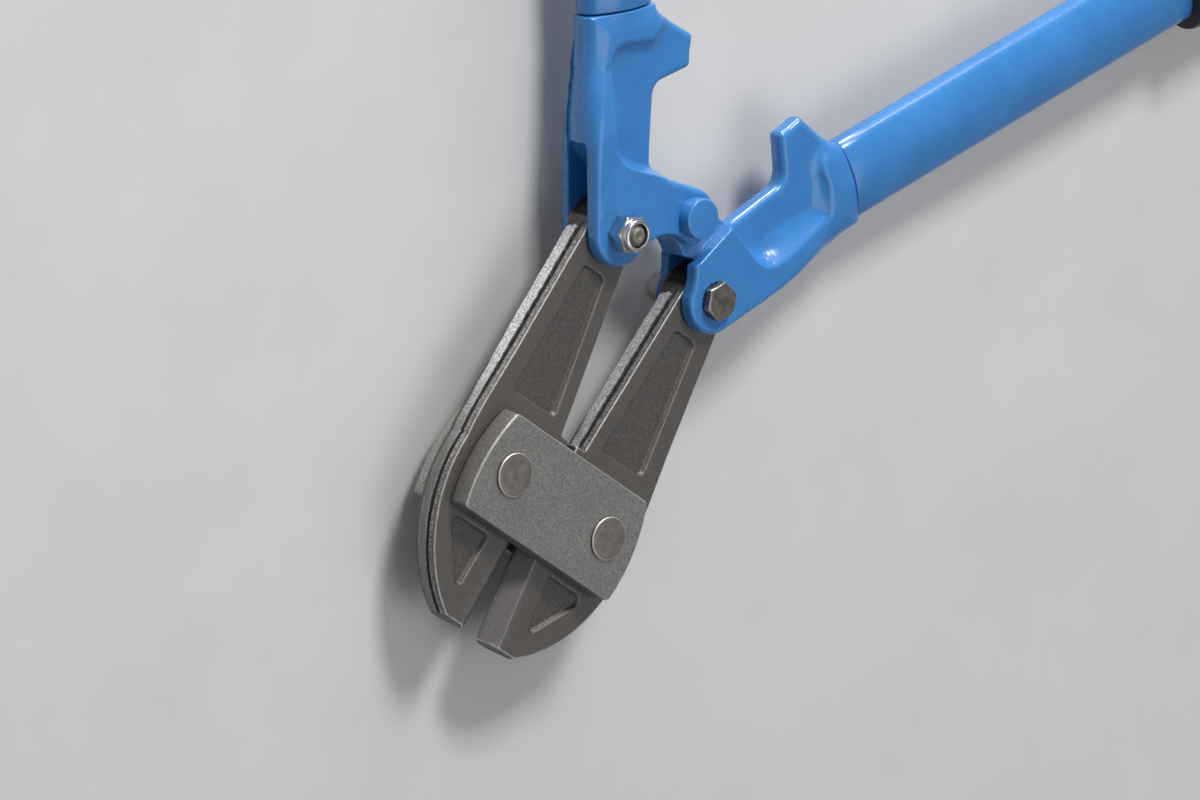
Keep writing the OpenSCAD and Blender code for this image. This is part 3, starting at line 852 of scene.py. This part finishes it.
def head_plan(x, y):
    """Outline of a handle head: pivot lug, link eye, body and hook, with the waist cut in."""
    flat = np.minimum(circle(x, y, (0, 0), LUG_R), circle(x, y, LINK_UV, EYE_R))
    flat = np.minimum(flat, polygon(x, y, HEAD))
    return overlap(flat, -circle(x, y, WAIST, WAIST_R), 0.6)


def casting(x, y, z, back_flare):
    """Head before its slots are cut: web and hook, thick cheeks, tube socket, parting fin."""
    lean = LEAN_BELOW * np.maximum(LEAN_FROM - z, 0) + LEAN_ABOVE * np.maximum(z - LEAN_FROM, 0)
    plan = head_plan(x, y) + lean
    web = slab(plan - WEB_OUT, z - WEB_UP, WEB_HALF - WEB_UP, WEB_ROUND)
    high = CHEEK_Z + (TUBE_H / 2 - SOCKET_PROUD - CHEEK_Z) * fade(y, *CHEEK_RISE)
    edge_r = CHEEK_ROUND + ROUNDER * fade(y, *ROUNDER_SPAN) + ROUNDEST * fade(y, *ROUNDEST_SPAN)
    thick = slab(plan + DRAW_IN * fade(y, *DRAW_IN_SPAN), z, high, edge_r)
    socket = np.maximum(oval_field(x - TUBE_X, z, TUBE_W, TUBE_H), TUBE_FROM - y)
    thick = join(thick, socket, SOCKET_BLEND)
    # The pocket's wall gets gentler, and its foot softer, from the low end to the tube.
    past_low_end = fade(y, 17, 30)
    flare = POCKET_FLARE + (POCKET_FLARE + back_flare * fade(x, 12, 22)) * past_low_end
    pocket = (polygon(x, y, POCKET) + flare * (CHEEK_Z - np.abs(z))) / np.sqrt(1 + flare ** 2)
    near_tube = fade(y, 44, 54)
    soft = 1.0 + past_low_end + 0.8 * fade(x + y, 32, 52) + 1.2 * near_tube
    solid = join(web, overlap(thick, -pocket, POCKET_ROUND + 0.5 * near_tube), soft)
    fin_out = FIN_OUT * (1 - fade(y, SHOULDER_Y - 14, SHOULDER_Y - 2))
    ragged = fin_out * (1 + 0.2 * waves(x, y, z, 4) + 0.12 * waves(y, x, z, 1.7))
    fin = slab(np.maximum(solid - ragged, polygon(x, y, BACK)), z - PARTING_Z, FIN_HALF, 0.25)
    solid = overlap(join(solid, fin, 0.4), y - SHOULDER_Y, 0.5)
    return solid + 0.05 * waves(x, y, z, 12)


def slot_field(x, y, z):
    return slab(polygon(x, y, SLOT), z, SLOT_HALF, 1.2)


def fork_field(x, y, z):
    """Left head, slotted round the pivot for the tongue and at the link for the jaw."""
    gap = np.minimum(circle(x, y, (0, 0), FORK_R), polygon(x, y, FORK))
    cut = np.minimum(slab(gap, z, SLOT_HALF, 0.4), slot_field(x, y, z))
    solid = overlap(casting(x, y, z, FORK_FLARE), -cut, SLOT_ROUND)
    return bored(solid, x, y, ((0, 0), PIN_R + BORE_GAP), (LINK_UV, BOLT_R + BORE_GAP))


def tongue_field(x, y, z):
    """Right head, stepped down to a tongue round the pivot and slotted at the link for the jaw."""
    plan = head_plan(x, y)
    tongue = slab(np.maximum(plan, polygon(x, y, TONGUE)), z, JAW_Z, 0.5)
    solid = join(casting(x, y, z, TONGUE_FLARE), tongue, TONGUE_ROUND)
    above = np.maximum(polygon(x, y, STEP_DOWN), JAW_Z - np.abs(z))
    solid = overlap(solid, -above, TONGUE_ROUND)
    solid = overlap(solid, -slot_field(x, y, z), SLOT_ROUND)
    return bored(solid, x, y, ((0, 0), PIN_R + PIN_PLAY), (LINK_UV, BOLT_R + BORE_GAP))


def fin_mark(x, y, z):
    """The parting fin, where paint has chipped."""
    at_height = np.abs(z - PARTING_Z) < FIN_HALF + 0.1
    return (at_height & (polygon(x, y, BACK) < 2) & (head_plan(x, y) > -0.9)).astype(float)


def make_head(side):
    left = side == "left"
    mesh = carve(side + "_head_casting", fork_field if left else tongue_field,
                 HEAD_LOW, HEAD_HIGH, HEAD_STEP, HEAD_KEEP, place(left, ON_HANDLE), {"fin": fin_mark})
    add_piece(side + "_head_casting", mesh, side + "_handle", [side + "_head"], CAST_PAINT)


# -------- tubes and grips
TUBE_WALL, TUBE_ROUND = 1.5, 0.5
TUBE_GAP = 0.4
TUBE_END_SHORT = 5              # the tube stops this far inside the grip's end
GRIP_LEN, GRIP_WALL = 120, 2.4
RIB_H, RIB_COUNT = 0.8, 9
FLANGE_T, CAP_T = 6, 10
TUCK, TUCK_LEN = 1.6, 2.2       # the skin rounds in by this much over the grip's last stretch
GRIP_FROM = END_UV.y - GRIP_LEN
OVAL_STEPS, TUBE_SPANS, GRIP_SPANS = 96, 24, 240


def tube_oval(grow):
    """Points round the tube's oval, with outward growth."""
    end_r, d, big_r = oval_arcs(TUBE_W, TUBE_H)
    swing = math.atan2(d, big_r - TUBE_H / 2)
    steps = OVAL_STEPS // 8
    quarter = []
    for k in range(steps):
        a = (math.pi / 2 - swing) * k / steps
        quarter.append((d + (end_r + grow) * math.cos(a), (end_r + grow) * math.sin(a)))
    for k in range(steps + 1):
        a = math.pi / 2 - swing + swing * k / steps
        quarter.append(((big_r + grow) * math.cos(a), TUBE_H / 2 - big_r + (big_r + grow) * math.sin(a)))
    half = quarter[:-1] + [(-x, z) for x, z in reversed(quarter)]
    return half[:-1] + [(-x, -z) for x, z in half[:-1]]


def loft(name, rings, matrix, closed_end, edge_rows):
    """Skin over rings (v, points), the last one filled where closed_end is true."""
    count = len(rings[0][1])
    points, faces = [], []
    for v, ring in rings:
        points += [(TUBE_X + x, v, z) for x, z in ring]
    for row in range(len(rings) - 1):
        for i in range(count):
            j = (i + 1) % count
            faces.append((row * count + i, (row + 1) * count + i, (row + 1) * count + j, row * count + j))
    if closed_end:
        middle = len(points)
        points.append((TUBE_X, rings[-1][0], 0))
        last = (len(rings) - 1) * count
        for i in range(count):
            faces.append((last + i, middle, last + (i + 1) % count))
    edge = [0.0] * len(points)
    for row, value in edge_rows:
        for i in range(count):
            edge[row * count + i] = value
    return built_mesh(name, points, faces, edge, matrix, 50)


def make_tube(side):
    start, end = SHOULDER_Y + TUBE_GAP, END_UV.y - TUBE_END_SHORT
    rings = [(end, tube_oval(-TUBE_WALL)), (start, tube_oval(-TUBE_WALL)),
             (start, tube_oval(-TUBE_ROUND)), (start + 0.3 * TUBE_ROUND, tube_oval(-0.3 * TUBE_ROUND)),
             (start + TUBE_ROUND, tube_oval(0))]
    for k in range(1, TUBE_SPANS + 1):
        rings.append((start + TUBE_ROUND + (end - start - TUBE_ROUND) * k / TUBE_SPANS, tube_oval(0)))
    rings.append((end, tube_oval(-TUBE_WALL)))
    # The rolled end is marked as an edge, so the paint lightens it, partly as a painted highlight.
    mesh = loft(side + "_tube_drawn", rings, place(side == "left", ON_HANDLE), False, [(3, 0.2)])
    add_piece(side + "_tube_drawn", mesh, side + "_handle", [side + "_tube"], TUBE_PAINT)


def grip_height(v):
    """How far the grip's skin stands over its plain wall at distance v from its open end."""
    if v < FLANGE_T:
        return 2 * RIB_H * math.sin(math.pi * (0.12 + 0.76 * v / FLANGE_T)) ** 0.5
    if v > GRIP_LEN - CAP_T:
        rest = (GRIP_LEN - v) / CAP_T
        return RIB_H * min(1, math.sqrt(max(0, 1 - (1 - min(1, 3 * rest)) ** 2))) * min(1, 6 * (1 - rest))
    pitch = (GRIP_LEN - FLANGE_T - CAP_T) / RIB_COUNT
    phase = ((v - FLANGE_T) / pitch) % 1
    return RIB_H * fade(abs(phase - 0.65), 0.36, 0.24)


def make_grip(side):
    inner = tube_oval(0.05)
    rings = [(END_UV.y - TUBE_END_SHORT, inner), (GRIP_FROM, inner),
             (GRIP_FROM, tube_oval(GRIP_WALL - 0.9))]
    marks = []
    for k in range(GRIP_SPANS + 1):
        v = GRIP_LEN * k / GRIP_SPANS
        lift = float(grip_height(v))
        tuck = TUCK * (1 - min(1, (GRIP_LEN - v) / TUCK_LEN)) ** 2
        rings.append((GRIP_FROM + v, tube_oval(GRIP_WALL + lift - tuck)))
        marks.append((len(rings) - 1, 0.15 if lift > 0.7 * RIB_H else -0.25))
    mesh = loft(side + "_grip_dipped", rings, place(side == "left", ON_HANDLE), True, marks)
    add_piece(side + "_grip_dipped", mesh, side + "_handle", [side + "_grip"], VINYL)


# -------- link bolts
HEX_HALF = 5
NUT_TURN = math.radians(-20)     # where the nut stopped when it was tightened
WASHER_T, BOLT_HEAD_H, NUT_H, CROWN_H = 0.6, 2.2, 5.4, 1.2
CROWN_R, CROWN_HOLE_R, CROWN_LIP = 4.6, 3.4, 0.55
CHAMFER_R = 4.85
BOLT_TIP = CHEEK_Z + 6.8
BOLT_PITCH, THREAD_DEPTH, TIP_R = 1.0, 0.12, 1.9
DIMPLE_R, DIMPLE_OUT = 1.3, 0.9 # a ball this far past the bolt's end leaves its dimple
TEETH, TOOTH_CUTS = 20, 6
TOOTH_SHARE = 0.6               # a tooth takes this much of its pitch
TOOTH_TWIST, TOOTH_THINS = 0.16, 0.35
WASHER_BORE_R, TOOTH_ROOT_R, TOOTH_TIP_R = 3.1, 4.7, 5.55
BOLT_STEP, NUT_STEP, FASTENER_KEEP = 0.18, 0.16, 0.5


def hexagon(x, y):
    """Hexagon with two of its flats across X."""
    slanted = np.maximum(np.abs(0.5 * x + 0.866 * y), np.abs(0.5 * x - 0.866 * y))
    return np.maximum(np.abs(x), slanted) - HEX_HALF


def chamfered(x, y, z, low, high):
    """Hexagon between two heights with its corners chamfered at the top."""
    r = np.hypot(x, y)
    body = overlap(hexagon(x, y), np.maximum(low - z, z - high), 0.25)
    return overlap(body, (r - CHAMFER_R) * 0.5 + (z - high) * 0.866, 0.2)


def bolt_field(x, y, z):
    """Bolt drawn with its head up, its thread as plain rings."""
    r = np.hypot(x, y)
    head = chamfered(x, y, z, CHEEK_Z + WASHER_T, CHEEK_Z + WASHER_T + BOLT_HEAD_H)
    thread = THREAD_DEPTH * np.abs(((z % BOLT_PITCH) - 0.5) * 2) * (z < -CHEEK_Z)
    shank = np.maximum(r - BOLT_R + thread, np.maximum(-BOLT_TIP - z, z - CHEEK_Z - 1))
    shank = overlap(shank, (r - TIP_R) * 0.75 + (-z - BOLT_TIP) * 0.66, 0.25)
    shank = overlap(shank, DIMPLE_R - np.hypot(r, z + BOLT_TIP + DIMPLE_OUT), 0.2)
    return np.minimum(head, shank)


def tip_mark(x, y, z):
    """The bolt's end inside the nut's crown."""
    return (z < -CHEEK_Z - NUT_H).astype(float)


def nut_field(x, y, z):
    """Lock nut drawn up from the cheek: hexagon, then a rolled crown round the nylon ring."""
    r = np.hypot(x, y)
    top = CHEEK_Z + NUT_H
    body = chamfered(x, y, z, CHEEK_Z, top - 0.6)
    crown = np.maximum(r - CROWN_R, np.maximum(CHEEK_Z + 1 - z, z - top - CROWN_H))
    roll = (CROWN_R - CROWN_HOLE_R + CROWN_LIP) / 2
    rolled = np.hypot(r - CROWN_R + roll, z - (top + CROWN_H - roll)) - roll
    crown = np.minimum(np.maximum(crown, z - (top + CROWN_H - roll)), rolled)
    solid = join(body, crown, 0.5)
    hole = np.where(z > top - 1, CROWN_HOLE_R, BOLT_R + 0.05)
    return np.maximum(solid, hole - r)


def ring_field(x, y, z):
    r = np.hypot(x, y)
    top = CHEEK_Z + NUT_H
    disc = overlap(r - CROWN_HOLE_R + 0.1, z - top, 0.3)
    return np.maximum(disc, np.maximum(BOLT_R + 0.02 - r, top - 1 - z))


def washer_mesh(name, matrix):
    """Toothed lock washer, every tooth twisted a little."""
    points, faces = [], []
    rows = 3
    turns = TEETH * TOOTH_CUTS
    middle = CHEEK_Z + WASHER_T / 2
    for i in range(turns):
        a = 2 * math.pi * i / turns
        phase = (i % TOOTH_CUTS) / TOOTH_CUTS
        on_tooth = phase < TOOTH_SHARE
        out = TOOTH_TIP_R if on_tooth else TOOTH_ROOT_R
        twist = TOOTH_TWIST * (phase - 0.3) / 0.3 if on_tooth else 0
        for z in (CHEEK_Z + 0.05, CHEEK_Z + WASHER_T - 0.05):
            for r, share in ((WASHER_BORE_R, 0), (TOOTH_ROOT_R - 0.2, 0), (out, 1)):
                height = middle + (z - middle) * (1 - TOOTH_THINS * share) + twist * share
                height = min(max(height, CHEEK_Z + 0.01), CHEEK_Z + WASHER_T - 0.01)
                points.append((r * math.cos(a), r * math.sin(a), height))
    stride = 2 * rows
    for i in range(turns):
        here, there = i * stride, (i + 1) % turns * stride
        for k in range(rows - 1):
            faces.append((here + k, there + k, there + k + 1, here + k + 1)[::-1])
            faces.append((here + rows + k, there + rows + k, there + rows + k + 1, here + rows + k + 1))
        faces.append((here + rows - 1, there + rows - 1, there + stride - 1, here + stride - 1)[::-1])
        faces.append((here, there, there + rows, here + rows))
    return built_mesh(name, points, faces, [0.0] * len(points), matrix)


def make_fasteners(side):
    """Link bolt, lock washer, nut and nylon ring, with the left nut in front and the right one behind."""
    left = side == "left"
    turn = Matrix.Diagonal((1, 1, -1 if left else 1, 1))
    at_link = ON_HANDLE @ Matrix.Translation((LINK_UV.x, LINK_UV.y, 0))
    up = place(left, at_link @ turn)
    down = up @ Matrix.Diagonal((1, 1, -1, 1))
    body = side + "_handle"
    reach = HEX_HALF + 1.2
    low, high = (-reach, -reach, -BOLT_TIP - 0.5), (reach, reach, CHEEK_Z + 4)
    bolt = carve(side + "_link_bolt", bolt_field, low, high, BOLT_STEP, FASTENER_KEEP, up,
                 {"tip": tip_mark})
    add_piece(side + "_link_bolt", bolt, body, [side + "_bolt"], BOLT_LOOK)
    washer = washer_mesh(side + "_toothed_washer", up)
    add_piece(side + "_toothed_washer", washer, body, [side + "_lock_washer"], WASHER_LOOK)
    low, high = (-reach, -reach, CHEEK_Z - 0.5), (reach, reach, CHEEK_Z + 8)
    turned = down @ Matrix.Rotation(NUT_TURN, 4, "Z")
    nut = carve(side + "_lock_nut", nut_field, low, high, NUT_STEP, FASTENER_KEEP, turned)
    add_piece(side + "_lock_nut", nut, body, [side + "_nut"], ZINC)
    low, high = (-4.5, -4.5, CHEEK_Z + 3), (4.5, 4.5, CHEEK_Z + 8)
    ring = carve(side + "_nylon_ring", ring_field, low, high, NUT_STEP, FASTENER_KEEP, down)
    add_piece(side + "_nylon_ring", ring, body, [side + "_nut_ring"], NYLON)


# -------- the tool
for side_name in ("left", "right"):
    make_jaw(side_name)
    make_rivet(side_name)
    make_head(side_name)
    make_tube(side_name)
    make_grip(side_name)
    make_fasteners(side_name)
make_strap("front_strap", False)
make_strap("rear_strap", True)
make_pin()


# -------- floor and light
FLOOR_HALF, FLOOR_DROP = 3.0, 0.0003     # metres
# Lights: name, direction from the frame's origin, distance and width in metres, power in watts
LIGHTS = (("key", (-0.45, 0.64, 0.66), 1.8, 0.4, 24), ("rim", (-0.3, 0.94, 0.25), 1.6, 0.35, 4),
          ("low", (-0.5, 0.86, 0.08), 1.6, 0.2, 15), ("top", (0.2, -0.2, 1.0), 2.0, 1.4, 9))


def make_floor():
    mesh = bpy.data.meshes.new("floor")
    corners = [(FLOOR_HALF * x, FLOOR_HALF * y, 0) for x, y in ((-1, -1), (1, -1), (1, 1), (-1, 1))]
    mesh.from_pydata(corners, [], [(0, 1, 2, 3)])
    floor = bpy.data.objects.new("floor", mesh)
    floor.location.z = cad_box[0][2] - FLOOR_DROP
    mesh.materials.append(pale_floor())
    link(floor)


def area_light(name, direction, distance, size, power):
    """Square softbox, looking at the frame's origin."""
    data = bpy.data.lights.new(name, "AREA")
    data.size = size
    data.energy = power
    lamp = bpy.data.objects.new(name, data)
    way = Vector(direction).normalized()
    lamp.location = way * distance
    lamp.rotation_euler = way.to_track_quat("Z", "Y").to_euler()
    link(lamp)


def make_light():
    """Faint sky and the softboxes."""
    world = bpy.data.worlds.new("studio")
    bpy.context.scene.world = world
    world.use_nodes = True
    world.node_tree.nodes["Background"].inputs["Color"].default_value = (0.9, 0.93, 1, 1)
    world.node_tree.nodes["Background"].inputs["Strength"].default_value = 0.3
    for light in LIGHTS:
        area_light(*light)
    bpy.context.scene.view_settings.view_transform = "Standard"


make_floor()
make_light()
